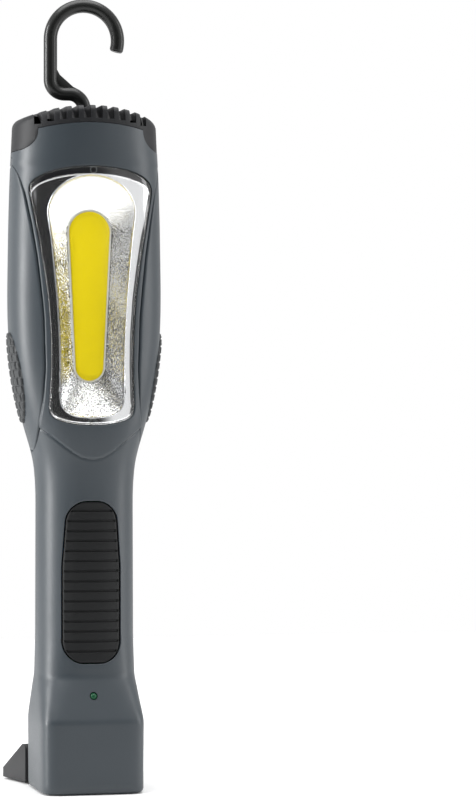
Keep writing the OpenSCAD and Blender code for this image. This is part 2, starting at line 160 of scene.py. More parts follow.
# %% Helpers for nodes
def fill(tree, sockets, values):
    """Feeds sockets by name or number: another socket is linked, anything else is set."""
    for label, value in values.items():
        if isinstance(value, bpy.types.NodeSocket):
            tree.links.new(value, sockets[label])
        else:
            sockets[label].default_value = value


def add_node(tree, kind, values=None, **settings):
    """Adds a node and hands back its outputs."""
    node = tree.nodes.new("ShaderNode" + kind)
    for name, value in settings.items():
        setattr(node, name, value)
    fill(tree, node.inputs, values or {})
    return node.outputs


# %% [markdown]
# The studio is a pale sweep, one broad soft light high on the left, a long bright card on the
# right that the mirror picks up, and a dark card on the left that gives the mirror its depth.


# %% Studio
def soft_box(name, place_at, size, power, aim=(0, 0, 0.16)):
    data = bpy.data.lights.new(name, "AREA")
    data.shape = "RECTANGLE"
    data.size, data.size_y = size
    data.energy = power
    lamp = bpy.data.objects.new(name, data)
    bpy.context.collection.objects.link(lamp)
    lamp.location = place_at
    lamp.rotation_euler = (Vector(aim) - Vector(place_at)).to_track_quat("-Z", "Y").to_euler()
    return lamp


soft_box("left_light", (-1.15, 0.05, 0.3), (0.32, 1.2), 22)
soft_box("right_light", (1.0, -0.3, 0.3), (0.25, 1.1), 5)
soft_box("top_light", (0.0, -0.1, 1.1), (1.0, 0.8), 12)


def studio_world():
    """White all round, with a dark card at the front left for all but the camera's own view."""
    world = bpy.data.worlds.new("studio")
    world.use_nodes = True
    tree = world.node_tree
    turned = math.radians(18)
    card_middle = (-math.sin(turned), -math.cos(turned), 0)
    where = add_node(tree, "TexCoord")["Generated"]
    towards = add_node(tree, "VectorMath", {0: where, 1: card_middle}, operation="DOT_PRODUCT")["Value"]
    card = add_node(tree, "MapRange", {"Value": towards, "From Min": 0.73, "From Max": 0.88,
                                       "To Min": 0.86, "To Max": 0.035},
                    interpolation_type="SMOOTHSTEP")["Result"]
    camera_ray = add_node(tree, "LightPath")["Is Camera Ray"]
    strength = add_node(tree, "Mix", {"Factor": camera_ray, "A": card, "B": 1.0})["Result"]
    fill(tree, tree.nodes["Background"].inputs, {"Color": (1, 1, 1, 1), "Strength": strength})
    return world


bpy.context.scene.world = studio_world()
bpy.context.scene.view_settings.view_transform = "Standard"

# %% [markdown]
# The floor is a plain sheet a hair below the base, so that the two faces never share a plane. It
# belongs to the stage and is no part of the light.

# %% Floor
clear_selection()
bpy.ops.mesh.primitive_plane_add(size=1.6, location=(0, 0, -0.0002))
floor = new_piece("floor")

# %% [markdown]
# ## Surface effects
# Moulded plastic is never one flat colour: the tool leaves a fine spark-eroded grain, the colour
# drifts a little over the part, and handling leaves faint smears that change the gloss. One node
# group makes all three as a colour, a roughness and a height, so that every plastic and rubber
# on the light can share it with its own values.


# %% Group for a moulded surface
SURFACE = {"Colour": "NodeSocketColor", "Roughness": "NodeSocketFloat", "Height": "NodeSocketFloat"}


def group_with(name, inputs):
    """A group that puts out a surface. Hands back its tree and the sockets at its two ends."""
    tree = bpy.data.node_groups.new(name, "ShaderNodeTree")
    for label, value in inputs.items():
        kind = "NodeSocketColor" if isinstance(value, tuple) else "NodeSocketFloat"
        socket = tree.interface.new_socket(name=label, in_out="INPUT", socket_type=kind)
        socket.default_value = value
    for label, kind in SURFACE.items():
        tree.interface.new_socket(name=label, in_out="OUTPUT", socket_type=kind)
    return tree, tree.nodes.new("NodeGroupInput").outputs, tree.nodes.new("NodeGroupOutput").inputs


def math_node(tree, operation, *values):
    return add_node(tree, "Math", dict(enumerate(values)), operation=operation)[0]


def noise_node(tree, where, scale, detail=2.0, roughness=0.5):
    return add_node(tree, "TexNoise", {"Vector": where, "Scale": scale, "Detail": detail,
                                       "Roughness": roughness})["Fac"]


def mix_colours(tree, factor, a, b):
    return add_node(tree, "Mix", {"Factor": factor, "A": a, "B": b}, data_type="RGBA")["Result"]


def moulded_group():
    tree, into, out = group_with("moulded_surface", {
        "Colour": (0.1, 0.1, 0.1, 1), "Drift Colour": (0.12, 0.12, 0.12, 1), "Roughness": 0.5,
        "Smear": 0.08, "Grain Scale": 3500.0, "Grain Depth": 1.0})
    where = add_node(tree, "TexCoord")["Object"]
    drift = noise_node(tree, where, 28.0, 3)
    grain = noise_node(tree, where, into["Grain Scale"], 2, 0.6)
    smears = noise_node(tree, where, 90.0, 4, 0.65)
    smear = math_node(tree, "MULTIPLY", math_node(tree, "SUBTRACT", smears, 0.5), into["Smear"])
    speck = math_node(tree, "MULTIPLY_ADD", math_node(tree, "SUBTRACT", grain, 0.5), 0.06, smear)
    fill(tree, out, {"Colour": mix_colours(tree, drift, into["Colour"], into["Drift Colour"]),
                     "Roughness": math_node(tree, "ADD", into["Roughness"], speck),
                     "Height": math_node(tree, "MULTIPLY", grain, into["Grain Depth"])})
    return tree


MOULDED = moulded_group()
print("surface group with", len(MOULDED.nodes), "nodes")

# %% [markdown]
# Each finish is one material: the group gives what varies, and the shader's own sockets hold
# what does not, such as the index of refraction or the amount of metal.


# %% Material maker
def blank_material(name):
    material = bpy.data.materials.new(name)
    material.use_nodes = True
    return material, material.node_tree, material.node_tree.nodes["Principled BSDF"]


def surfaced(name, group, values, bump, **constants):
    """A material whose colour, roughness and relief come from a group, with constants beside."""
    material, tree, shader = blank_material(name)
    surface = add_node(tree, "Group", values, node_tree=group)
    relief = add_node(tree, "Bump", {"Distance": bump, "Height": surface["Height"]})["Normal"]
    fill(tree, shader.inputs, {"Base Color": surface["Colour"], "Roughness": surface["Roughness"],
                               "Normal": relief, **constants})
    return material


def moulded(name, colour, drift, roughness, smear=0.08, grain=3500, depth=0.25, metallic=0.0, ior=1.5):
    return surfaced(name, MOULDED, {
        "Colour": (*colour, 1), "Drift Colour": (*drift, 1), "Roughness": roughness,
        "Smear": smear, "Grain Scale": grain, "Grain Depth": depth}, 0.00006, Metallic=metallic, IOR=ior)


# %% [markdown]
# The casing is a dark blue grey, and the cap and the foot are charcoal, all with a fine grain.
# Rubbers are darker and duller. Metals differ in how rough they are, from the bright magnet to
# the plain aluminium of the heat sink. A finish's two colours are the ends of its drift.

# %% Plastics, rubbers and metals
SLATE = moulded("slate_plastic", (0.027, 0.035, 0.042), (0.032, 0.041, 0.049), 0.40, depth=0.5)
CHARCOAL = moulded("charcoal_plastic", (0.008, 0.0085, 0.010), (0.012, 0.0125, 0.014), 0.5, depth=0.5,
                   ior=1.36)
BLACK_GLOSS = moulded("black_gloss", (0.006, 0.0065, 0.006), (0.009, 0.0095, 0.009), 0.3, 0.08,
                      grain=900, depth=0.15, ior=1.42)
PAD_RUBBER = moulded("pad_rubber", (0.004, 0.0045, 0.005), (0.007, 0.0075, 0.008), 0.55, 0.1, ior=1.33)
GRIP_RUBBER = moulded("grip_rubber", (0.018, 0.020, 0.022), (0.026, 0.029, 0.031), 0.6, 0.1)
FLOOR_WHITE = moulded("floor_white", (0.83, 0.83, 0.83), (0.86, 0.86, 0.86), 0.6, grain=300)
STEEL = moulded("zinc_steel", (0.56, 0.56, 0.55), (0.66, 0.66, 0.65), 0.3, 0.12, 1400, metallic=1)
ALUMINIUM = moulded("plain_aluminium", (0.7, 0.71, 0.72), (0.78, 0.79, 0.8), 0.34, 0.12, 2000,
                    metallic=1)
MAGNET = moulded("nickel_magnet", (0.6, 0.6, 0.59), (0.7, 0.7, 0.69), 0.22, 0.15, 1200, metallic=1)
BOARD_GREEN = moulded("board_green", (0.012, 0.12, 0.045), (0.018, 0.16, 0.06), 0.3, 0.1, 700)
CHIP_BLACK = moulded("chip_black", (0.018, 0.018, 0.018), (0.03, 0.03, 0.03), 0.5)
WIRE_RED = moulded("wire_red", (0.42, 0.015, 0.015), (0.5, 0.02, 0.02), 0.4)
CELL_WRAP = moulded("cell_wrap", (0.03, 0.14, 0.38), (0.04, 0.17, 0.44), 0.28)
INNER_PLASTIC = moulded("inner_plastic", (0.08, 0.08, 0.08), (0.1, 0.1, 0.1), 0.55)
floor.data.materials.append(FLOOR_WHITE)

# %% [markdown]
# ## The body's outline
# The body is one smooth form that changes from a rounded square base to a nearly round grip and
# an oval head. A short table gives the half width, the depth to the front and the back, and how
# square the outline is, at a few heights. Between them the values run straight, and a sliding
# average rounds the corners: tightly at the base's edges, softly where the grip opens out.

# %% Outline tables, in millimetres
HALF_WIDTH = [(0, 20.6), (28.5, 20.8), (45.5, 19.5), (60, 19.3), (118, 19.2), (126, 19.6),
              (131, 20.2), (135, 21.2), (140, 22.8), (146, 24.6), (157, 27.3), (170, 29.3),
              (182, 30.2), (195, 30.5), (224, 30.1), (253, 29.3), (267, 28.6), (275, 28.4)]
FRONT = [(0, 25), (28.5, 25), (45.5, 18), (60, 17.6), (118, 17.6), (131, 18.6), (140, 20),
         (150, 20.5), (170, 20.7), (250, 20.9), (275, 20.7)]
REAR = [(0, 17), (118, 17), (131, 17.7), (145, 19.3), (170, 20.5), (275, 20.5)]
SQUARE = [(0, 8), (28.5, 8), (36, 5), (45.5, 3), (60, 2.5), (118, 2.4), (145, 2.5), (170, 2.7),
          (240, 2.6), (256, 2.2), (275, 2.1)]
WING_EDGE = [(134.4, 21.2), (142.8, 20.4), (154.4, 19.2), (167.2, 18.7), (187.6, 19.3),
             (199, 20.4), (211.2, 21.8), (223.6, 23.8), (236, 26.2), (244.4, 28.4), (250.8, 30.4)]
WING_LOW, WING_HIGH = 134.4, 250.8
SPLIT = 12.5


def soft(table, z):
    heights, values = zip(*table)
    reach = np.interp(z, [0, 60, 118, 140], [1.3, 1.3, 4, 6])
    return np.mean([np.interp(z + reach * k, heights, values) for k in np.linspace(-1, 1, 9)], axis=0)


def surface_y(x, z, grow=0.0):
    power = soft(SQUARE, z)
    across = np.clip(np.abs(x) / (soft(HALF_WIDTH, z) + grow), 0, 0.995)
    return -(soft(FRONT, z) + grow) * (1 - across ** power) ** (1 / power)


def side_curve(z, grow=0.0):
    """Right half of the outline at one height: from the middle of the back to that of the front."""
    angle = np.radians(np.linspace(90, -90, 1201))
    power = 2 / soft(SQUARE, z)
    cosine, sine = np.cos(angle), np.sin(angle)
    x = (soft(HALF_WIDTH, z) + grow) * np.abs(cosine) ** power
    depth = np.where(sine < 0, soft(FRONT, z), soft(REAR, z)) + grow
    y = depth * np.sign(sine) * np.abs(sine) ** power
    length = np.concatenate([[0], np.cumsum(np.hypot(np.diff(x), np.diff(y)))])
    return x, y, length


def wing_limits(z, grow=0.0, inset=0.0):
    """Distances along the side curve at which the side panel starts and ends."""
    x, y, length = side_curve(z, grow)
    edge = min(np.interp(z, *zip(*WING_EDGE)) + inset, 0.9992 * x.max())
    under = x >= edge
    return length[under][0], length[under][-1]


print("grip width", 2 * soft(HALF_WIDTH, 90), "head width", 2 * soft(HALF_WIDTH, 195))

# %% [markdown]
# ## Sheets laid over a form
# A grid is a sheet of even squares. Its rows can be laid round any outline, row by row, which
# gives clean four-sided faces that follow the form, where carving a block would not. The
# helper adds the grid, puts every point in its place and checks which way the faces look.


# %% Sheet helper
def lay_sheet(name, rows, wrap=False, middle=None, facing=None):
    """Lays a grid on rows of points in millimetres. With wrap, every row closes on itself."""
    rows = np.asarray(rows) * MM
    if wrap:
        rows = np.concatenate([rows, rows[:, :1]], axis=1)
    up, across = rows.shape[0] - 1, rows.shape[1] - 1
    clear_selection()
    bpy.ops.mesh.primitive_grid_add(x_subdivisions=across, y_subdivisions=up, size=1)
    piece = new_piece(name)
    for vertex in piece.data.vertices:
        column = round((vertex.co.x + 0.5) * across)
        row = round((vertex.co.y + 0.5) * up)
        vertex.co = rows[row, column]
    if wrap:
        edit(piece, action="SELECT")
        bpy.ops.mesh.remove_doubles(threshold=1e-6)
        leave_edit()
    turn_out(piece, middle, facing)
    return piece


def turn_out(piece, middle, facing):
    """Flips a sheet whose faces look towards its middle line, or against a given direction."""
    score = 0
    for face in piece.data.polygons:
        away = Vector(facing) if facing else face.center - Vector(middle or (0, 0, face.center.z))
        score += face.normal.dot(away) * face.area
    if score < 0:
        piece.data.flip_normals()


def close_ends(piece):
    edit(piece, "EDGE")
    bpy.ops.mesh.select_non_manifold()
    bpy.ops.mesh.edge_face_add()
    leave_edit()


def mirrored(half):
    """A row of points completed with its mirror image, from the right side to the left."""
    left = half[::-1] * (-1, 1, 1)
    return np.concatenate([half, left[1:]] if abs(half[-1][0]) < 1e-6 else [half, left])


# %% [markdown]
# ## Housings
# The front and the back housing are one form cut at a plane. Their grid has columns that follow
# the edge of the side panels, so the groove round each panel is as crisp as on the mould. Rows
# crowd together where the surface steps: at the base's edges and at the line under the lens.


# %% Housing surface
def smooth_step(value):
    t = np.clip(value, 0, 1)
    return t * t * (3 - 2 * t)


SMILE = [(0, 131.3), (4, 132.0), (8, 134.2), (12, 137.2), (16, 140.4), (20, 143.4), (30, 152)]


def smile_step(x, z):
    """The panel round the lens stands a little proud of the grip, down to a curved line."""
    line = np.interp(np.abs(x), *zip(*SMILE))
    height = np.interp(np.abs(x), [0, 6, 14, 20], [0.3, 0.45, 0.75, 0.85])
    crease = 0.4 * height * np.exp(-((z - line + 0.1) / 0.45) ** 2)
    return height * smooth_step((z - line) / 0.7) * (1 - smooth_step((z - 144) / 26)) - crease


def groove(distance, z):
    """How far the surface sinks near and under a side panel, by the distance from its edge."""
    sunk = np.interp(distance, [-0.3, 0, 0.25, 0.5, 0.9], [-0.9, -0.75, -0.3, -0.08, 0])
    inside = smooth_step((z - WING_LOW + 0.4) / 0.6) * smooth_step((WING_HIGH + 0.5 - z) / 0.4)
    return sunk * inside


LIP = np.array([0.06, 0.16, 0.3, 0.5])


def housing_row(z, part, grow=0.0, wall=0.0):
    """Points round one half of a housing. With a wall it is the inner face, which has no steps."""
    x, y, length = side_curve(z, grow)
    split_at = np.interp(-SPLIT, -y, length)
    back_edge, front_edge = wing_limits(np.clip(z, WING_LOW, WING_HIGH))
    if part == "front":
        near = max(front_edge, split_at + 3)
        at = np.concatenate([split_at + LIP, np.linspace(split_at + 1, near - 0.6, 14),
                             near + np.array([-0.3, 0, 0.25, 0.5]),
                             np.linspace(near + 0.9, length[-1], 76)])
    else:
        near = min(back_edge, split_at - 2)
        at = np.concatenate([np.linspace(0, near - 0.9, 40), near + np.array([-0.5, -0.25, 0, 0.3]),
                             np.linspace(near + 0.6, split_at - 1, 12), split_at - LIP[::-1]])
    px, py = np.interp(at, length, x), np.interp(at, length, y)
    distance = np.maximum(at - front_edge, back_edge - at)
    lift = groove(distance, z) + (smile_step(px, z) if part == "front" else 0)
    lift = lift + np.interp(np.abs(at - split_at), LIP, [-0.35, -0.14, -0.04, 0])
    lift = -wall if wall else lift
    tangent = np.gradient(np.stack([px, py], 1), axis=0)
    normal = np.stack([-tangent[:, 1], tangent[:, 0]], 1) / np.linalg.norm(tangent, axis=1)[:, None]
    px = px + normal[:, 0] * lift
    py = py + normal[:, 1] * lift
    px[-1 if part == "front" else 0] = 0
    return np.stack([px, py, np.full(len(px), z)], 1)


# Heights of the rows round the lower edge, with how far each is drawn in
ROUND_BASE = [(0, -1.8), (0.14, -1.15), (0.45, -0.64), (0.95, -0.22), (1.8, 0)]
HEIGHTS = np.concatenate([np.arange(4, 26, 4), np.arange(26.5, 32, 0.5), np.arange(33, 43, 2),
                          np.arange(43.5, 49, 0.5), np.arange(52, 128, 5), np.arange(129, 147, 0.4),
                          np.arange(148, 250, 2), [250.4, 250.7, 250.9, 251.1, 251.4],
                          np.arange(253, 269, 2.5)])


def housing_rows(part, wall=0.0):
    rows = [housing_row(z, part, grow, wall) for z, grow in ROUND_BASE]
    rows += [housing_row(z, part, 0, wall) for z in HEIGHTS]
    if wall:
        for k, row in enumerate(rows[:len(ROUND_BASE)]):
            row[:, 2] = 2 + 0.05 * k
    return np.array([mirrored(row if part == "front" else row[::-1]) for row in rows])


def housing_shell(name, part):
    """An outer sheet closed at the bottom, doubled by a plain inner face."""
    shell = lay_sheet(name, housing_rows(part))
    count = len(shell.data.vertices)
    edit(shell)
    leave_edit()  # vertices can only be picked by place outside edit mode
    for vertex in shell.data.vertices:
        vertex.select = vertex.co.z < 1e-6
    bpy.ops.object.mode_set(mode="EDIT")
    bpy.ops.mesh.edge_face_add()
    leave_edit()
    turn_out(shell, (0, 0, 0.1), None)
    thicken(shell, 2.2)
    inner = housing_rows(part, 2.3).reshape(-1, 3) * MM
    for vertex, spot in zip(shell.data.vertices[count:], inner):
        vertex.co = spot
    return shell


front_shell = housing_shell("front_shell", "front")
rear_shell = housing_shell("rear_shell", "rear")
print("points in the housings:", len(front_shell.data.vertices), len(rear_shell.data.vertices))

# %% [markdown]
# ## Front view outlines
# The lens, the mirror's rim, the mirror's floor and the yellow strip are all one kind of shape:
# an arched foot, two long sides and an arched head. If every outline has the same number of
# points in the same order, any two of them can be joined by an even band of faces.


# %% Outlines
def ring(low, sides, top, low_power=1.0, corner=0.0):
    """Closed outline (x, z). low and top are half width, centre height and drop or rise."""
    angle = np.radians(np.linspace(0, 90, 17))
    foot = np.stack([low[0] * np.sin(angle) ** low_power, low[1] - low[2] * np.cos(angle) ** low_power], 1)
    z = np.linspace(low[1], top[1], 44)[1:-1]
    side = np.stack([np.interp(z, *zip(*sides)), z], 1)
    head = np.stack([top[0] * np.cos(angle), top[1] + top[2] * np.sin(angle)], 1)
    half = np.concatenate([foot, side, head])
    return round_off(mirror_loop(half), corner) if corner else mirror_loop(half)


def mirror_loop(half):
    return np.concatenate([half, half[-2:0:-1] * (-1, 1)])


def round_off(loop, reach):
    """Rounds the corners of a closed outline by a sliding average along its length."""
    closed = np.concatenate([loop, loop[:1]])
    at = np.concatenate([[0], np.cumsum(np.hypot(*np.diff(closed, axis=0).T))])
    steps = at[:-1, None] + reach * np.linspace(-1, 1, 11)
    return np.stack([np.interp(steps % at[-1], at, closed[:, k]).mean(axis=1) for k in (0, 1)], 1)


def grow_loop(loop, by):
    ahead, behind = np.roll(loop, -1, axis=0), np.roll(loop, 1, axis=0)
    along = (ahead - behind) / np.linalg.norm(ahead - behind, axis=1)[:, None]
    return loop + by * np.stack([along[:, 1], -along[:, 0]], 1)


def skin_y(x, z):
    return surface_y(x, z) - smile_step(x, z)


def between(a, b, t):
    return a + (b - a) * t


def shrunk(loop, z, scale):
    """A closed outline scaled about a point on its middle line."""
    return (0, z) + (loop - (0, z)) * scale


def ring_row(loop, y):
    return np.stack([loop[:, 0], np.broadcast_to(y, len(loop)), loop[:, 1]], 1)


LENS = ring((17, 150, 5.1), [(150, 17), (157, 16.7), (168, 16.3), (180, 16.4), (195, 17.5),
            (206, 19), (218, 21), (228, 22.9), (238, 24.7)], (24.7, 238, 8.6), corner=2.6)
DISH_RIM = ring((12.5, 157, 9.1), [(157, 12.5), (164, 12.5), (173, 12.6), (184, 13), (195, 13.7),
                (206, 14.7), (218, 15.8), (228.5, 17.2)], (17.2, 228.5, 14.9), 0.7, corner=1)
STRIP = ring((5.65, 167.85, 5.65), [(167.85, 5.65), (221.1, 8.2)], (8.2, 221.1, 8.2))
PAD_LOW, PAD_HIGH = 51.0, 114.6


def pad_half_width(z):
    low = 3 + np.sqrt(np.clip(8.5 ** 2 - (59.5 - z) ** 2, 0, None))
    top = 1.8 + np.sqrt(np.clip(8.5 ** 2 - (z - 106.1) ** 2, 0, None))
    middle = np.interp(z, [89.16, 106.1], [11.5, 10.3])
    return np.where(z < 59.5, low, np.where(z > 106.1, top, middle))


bend = np.linspace(0, 1, 12) ** 2 * 8.5
pad_z = np.concatenate([PAD_LOW + bend, np.linspace(60, 106, 24), PAD_HIGH - bend[::-1]])
pad_half = np.stack([pad_half_width(pad_z), pad_z], 1)
PAD = mirror_loop(np.concatenate([[(0, PAD_LOW), (1.5, PAD_LOW)], pad_half,
                                  [(0.9, PAD_HIGH), (0, PAD_HIGH)]]))
print("points in an outline:", len(LENS), "and in the pad's:", len(PAD))

# %% [markdown]
# ## Cutting tools
# A hole in a moulded skin has a rounded lip. A cutter that flares where it meets the surface
# leaves that lip behind in one cut. Plain prisms do for slots, pockets and the parting line.


# %% Cutters
def lipped_cutter(loop, gap, lip=0.4, deep=9.0):
    """A cutter as wide as an outline and a gap, flaring at the surface by the lip's radius."""
    outer = grow_loop(loop, gap + lip)
    rows = [ring_row(outer, -40.0)]
    for k in np.radians([90, 67, 45, 22, 0]):
        out = lip * (1 - math.cos(k))
        down = lip * (1 - math.sin(k))
        at = grow_loop(loop, gap + out)
        rows.append(ring_row(at, skin_y(*at.T) + down - 0.02))
    rows.append(ring_row(grow_loop(loop, gap), -deep))
    cutter = lay_sheet("cutter", rows, wrap=True)
    close_ends(cutter)
    return outward(cutter)


def outward(piece):
    edit(piece, action="SELECT")
    bpy.ops.mesh.normals_make_consistent(inside=False)
    leave_edit()
    return piece


def prism(name, outline, axis, low, high):
    """A flat outline pushed along X, Y or Z from low to high, all in millimetres."""
    outline = np.asarray(outline, float)
    clear_selection()
    bpy.ops.mesh.primitive_circle_add(vertices=len(outline), fill_type="NGON")
    piece = new_piece(name)
    for vertex, (a, b) in zip(piece.data.vertices, outline):
        spot = {"x": (low, a, b), "y": (a, low, b), "z": (a, b, low)}[axis]
        vertex.co = Vector(spot) * MM
    edit(piece, action="SELECT")
    push = Vector([(high - low) * MM if axis == letter else 0 for letter in "xyz"])
    bpy.ops.mesh.extrude_region_move(TRANSFORM_OT_translate={"value": push})
    leave_edit()
    return outward(piece)


def punch(piece, outline, axis, low, high, operation="DIFFERENCE"):
    cut(piece, prism("cutter", outline, axis, low, high), operation)


def rectangle(a0, a1, b0, b1):
    return [(a0, b0), (a1, b0), (a1, b1), (a0, b1)]


def circle(a, b, radius, count=40):
    return [(a + radius * math.cos(t), b + radius * math.sin(t))
            for t in np.linspace(0, 2 * math.pi, count, endpoint=False)]


def bevel(piece, width, segments=3, degrees=35):
    finish_with(piece, "BEVEL", width=width * MM, segments=segments, limit_method="ANGLE",
                angle_limit=math.radians(degrees), harden_normals=False)


# %% [markdown]
# Three holes go through the front: for the lens, the pad and the indicator. The upper edge of
# both housings follows the cap's seam, an arch that drops to an ear at each side. As the cap is
# later cut to the same line, they meet all round.

# %% Openings in the front housing
EAR_X = 21  # where the seam's arch ends and its ear begins
arch_x = np.linspace(0, EAR_X, 15)
ear_x = 30 - 9 * np.cos(np.radians(np.linspace(0, 90, 12)))
seam_half = [(x, 264 - 2.4 * (x / EAR_X) ** 2) for x in arch_x]
seam_half += [(x, 261 - 8 * math.sin(math.acos((30 - x) / 9))) for x in ear_x]
SEAM = np.array([(-x, z) for x, z in seam_half[:0:-1]] + seam_half)
above_seam = [(-40, 252.9)] + [(x, z - 0.12) for x, z in SEAM] + [(40, 252.9), (40, 300), (-40, 300)]
cut(front_shell, lipped_cutter(LENS, 0.3))
cut(front_shell, lipped_cutter(PAD, 0.35, 0.3))
punch(front_shell, circle(0, 38.4, 1.55), "y", -40, -5)
for shell in (front_shell, rear_shell):
    punch(shell, above_seam, "y", -40, 40)

# %% [markdown]
# The back has round wells for the six case screws, a flat surround with a pocket for the
# charging port's cover, and two lugs that carry the folding foot's pin.

# %% Back of the housing
SCREWS = [(side * x, z) for x, z in ((13.5, 34), (10, 140.5), (13, 253)) for side in (-1, 1)]
wells = [prism("cutter", circle(x, z, 3.1), "y", 15.2, 40) for x, z in SCREWS]
cut(rear_shell, join("cutter", wells))
liners = []
for x, z in SCREWS:
    liner_end = float(np.interp(z, [34, 140.5, 253], [16, 17, 18.4]))
    liner = prism("liner", circle(x, z, 4.2), "y", 12.6, liner_end)
    punch(liner, circle(x, z, 3.1), "y", 15.2, 40)
    punch(liner, circle(x, z, 1.5), "y", 0, 16)
    liners.append(liner)
surround = prism("surround", rectangle(-9.2, 9.2, 41.8, 57.2), "y", 12.7, 15.8)
bevel(surround, 0.3, 2)
pocket = prism("cutter", rectangle(-6.75, 6.75, 43.2, 54.7), "y", 14.1, 40)
punch(rear_shell, rectangle(-9.0, 9.0, 42.0, 57.0), "y", 5, 40)
cut(surround, pocket)
punch(surround, rectangle(-8.6, 8.6, 43.3, 45.5), "y", 13.9, 40)
punch(surround, rectangle(-4.2, 4.2, 47.5, 51.1), "y", 0, 40)
lugs = []
for side in (-1, 1):
    low, high = sorted((side * 8.1, side * 11.9))
    lug = prism("lug", [(16.2, 10), (16.2, 15.4), (19.4, 15.2), (22, 15), (23.4, 13), (22.4, 10.6),
                        (20.6, 10)], "x", low, high)
    bevel(lug, 0.4)
    lugs.append(lug)
rear_shell = join("rear_shell", [rear_shell, surround, *liners, *lugs])
place(front_shell, "light", ["front_housing"], SLATE)
place(rear_shell, "light", ["rear_housing"], SLATE)

# %% [markdown]
# ## Side panels and grips
# Each side carries a long leaf-shaped panel, set flush in its groove, with a rubber grip near the
# waist. The panel is a sheet between the two seam lines. The grip is a fine sheet whose relief,
# rows of staggered bricks, is worked out point by point.


# %% Panels and grips
def edge_round(distance, radius):
    inner = np.clip(radius - distance, 0, radius)
    return radius - np.sqrt(np.clip(radius ** 2 - inner ** 2, 0, None))


def side_points(z, at, lift, grow=0.0):
    x, y, length = side_curve(z, grow)
    px, py = np.interp(at, length, x), np.interp(at, length, y)
    ahead = np.stack([np.interp(at + 0.2, length, x) - np.interp(at - 0.2, length, x),
                      np.interp(at + 0.2, length, y) - np.interp(at - 0.2, length, y)], 1)
    ahead /= np.linalg.norm(ahead, axis=1)[:, None]
    return np.stack([px - ahead[:, 1] * lift, py + ahead[:, 0] * lift, np.full(len(px), z)], 1)


EDGE_STEPS = np.array([0, 0.12, 0.3, 0.6, 1.0])


def wing_sheet(name, side):
    rows = []
    low, high = WING_LOW + 0.35, WING_HIGH - 0.3
    heights = np.concatenate([low + EDGE_STEPS, np.linspace(low + 1.5, high - 1.5, 90),
                              high - EDGE_STEPS[::-1]])
    for z in heights:
        start, end = wing_limits(z)
        start, end = start + 0.3, end - 0.3
        reach = min(1.0, 0.3 * (end - start))
        at = np.concatenate([start + EDGE_STEPS * reach,
                             np.linspace(start + reach * 1.2, end - reach * 1.2, 46),
                             end - EDGE_STEPS[::-1] * reach])
        gap = np.minimum(np.minimum(at - start, end - at), min(z - low, high - z))
        rows.append(side_points(z, at, -edge_round(gap, 0.8)) * (side, 1, 1))
    sheet = lay_sheet(name, rows)
    thicken(sheet, 0.85)
    return sheet


BRICK_ROW, BRICK_PITCH = 3.15, 5.2
GRIP_MIDDLE, GRIP_HALF_HEIGHT = 163.5, 18


def brick_relief(z, across):
    """1 on a brick and 0 in the joints, with every other row shifted by half a brick."""
    row = np.floor(z / BRICK_ROW)
    in_row = np.abs((z / BRICK_ROW - row) - 0.5) * BRICK_ROW
    shifted = across / BRICK_PITCH + 0.5 * (row % 2)
    in_brick = np.abs((shifted - np.floor(shifted)) - 0.5) * BRICK_PITCH
    flat = smooth_step((BRICK_PITCH / 2 - 0.45 - in_brick) / 0.35)
    bed = smooth_step((BRICK_ROW / 2 - 0.18 - in_row) / 0.3)
    return np.minimum(flat, 0.45 + 0.55 * bed)


def grip_sheet(name, side):
    rows = []
    for z in np.linspace(GRIP_MIDDLE - 17.95, GRIP_MIDDLE + 17.95, 150):
        x, y, length = side_curve(z)
        half = 10.5 * math.sqrt(max(1 - ((z - GRIP_MIDDLE) / GRIP_HALF_HEIGHT) ** 2, 0.0004))
        middle = np.interp(0, -y, length)
        at = middle + np.linspace(-half, half, 92)
        gap = np.minimum((half - np.abs(at - middle)), GRIP_HALF_HEIGHT - abs(z - GRIP_MIDDLE))
        bricks = brick_relief(z - GRIP_MIDDLE, at - middle)
        lift = 1.0 - edge_round(gap, 0.9) * 0.95 - 0.7 * (1 - bricks)
        rows.append(side_points(z, at, np.maximum(lift, 0.05)) * (side, 1, 1))
    sheet = lay_sheet(name, rows)
    thicken(sheet, 0.5)
    return sheet


for side, label in ((-1, "left"), (1, "right")):
    place(wing_sheet(label + "_panel", side), "light", [label + "_wing"], SLATE)
    grip = grip_sheet(label + "_grip_rubber", side)
    place(grip, "light", [label + "_grip"], GRIP_RUBBER, 50)

# %% [markdown]
# ## Vent cap
# The cap closes the top and lets the heat out. Its grid runs from the middle of the crown out
# over a rounded shoulder and down to the seam, then twenty slots are cut through the shoulder.


# %% Cap
CAP_TOP, CROWN_RADIUS, SHOULDER = 270.9, 73, 2.6
CAP_DEPTH, CAP_SQUARE = 20.75, 2.15


def power_ring(turns, power):
    """Points of a superellipse of size 1."""
    cosine, sine = np.cos(turns), np.sin(turns)
    return np.stack([np.sign(cosine) * np.abs(cosine) ** power, np.sign(sine) * np.abs(sine) ** power], 1)


def crown(x, down=0.0):
    return CAP_TOP - CROWN_RADIUS + np.sqrt(CROWN_RADIUS ** 2 - x ** 2) - down


